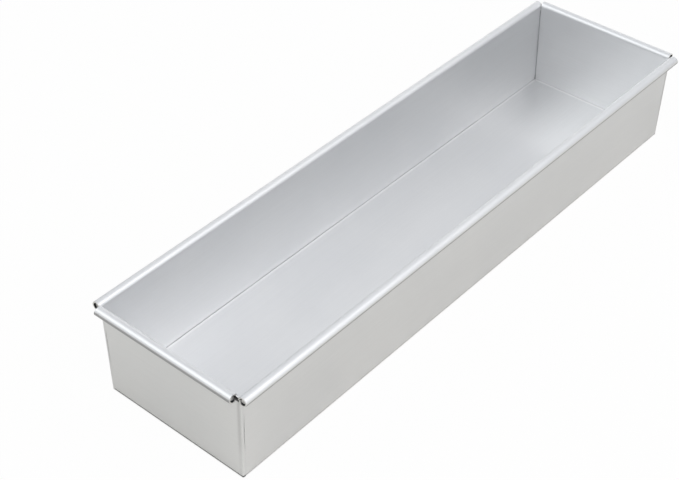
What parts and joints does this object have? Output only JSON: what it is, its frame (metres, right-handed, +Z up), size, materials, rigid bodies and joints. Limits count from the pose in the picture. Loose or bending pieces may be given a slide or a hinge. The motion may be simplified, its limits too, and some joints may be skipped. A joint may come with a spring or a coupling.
{
  "type": "rectangular cheesecake pan",
  "caption": "Long narrow baking pan with near upright sheet walls, rolled and wired rims, and a loose base plate that lifts out.",
  "frame": {"origin": "middle of the pan's underside, on the surface that it stands on", "axes": "+X along the pan to its far end, +Y across it to its rear side, +Z up"},
  "size_m": [0.4116, 0.1116, 0.0621],
  "materials": {
    "anodised_walls": "matt silver anodised sheet",
    "anodised_base": "matt silver anodised sheet",
    "steel_wire": "drawn wire"
  },
  "bodies": {
    "pan": {"near_end_wall": "anodised_walls", "far_end_wall": "anodised_walls", "front_side_wall": "anodised_walls", "rear_side_wall": "anodised_walls", "near_rim_wire": "steel_wire", "far_rim_wire": "steel_wire", "front_rim_wire": "steel_wire", "rear_rim_wire": "steel_wire"},
    "base": {"loose_base": "anodised_base"}
  },
  "joints": [
    {"name": "base_lift", "type": "slide", "parent": "pan", "child": "base", "axis": [0, 0, 1], "range_m": [0, 0.08]}
  ]
}
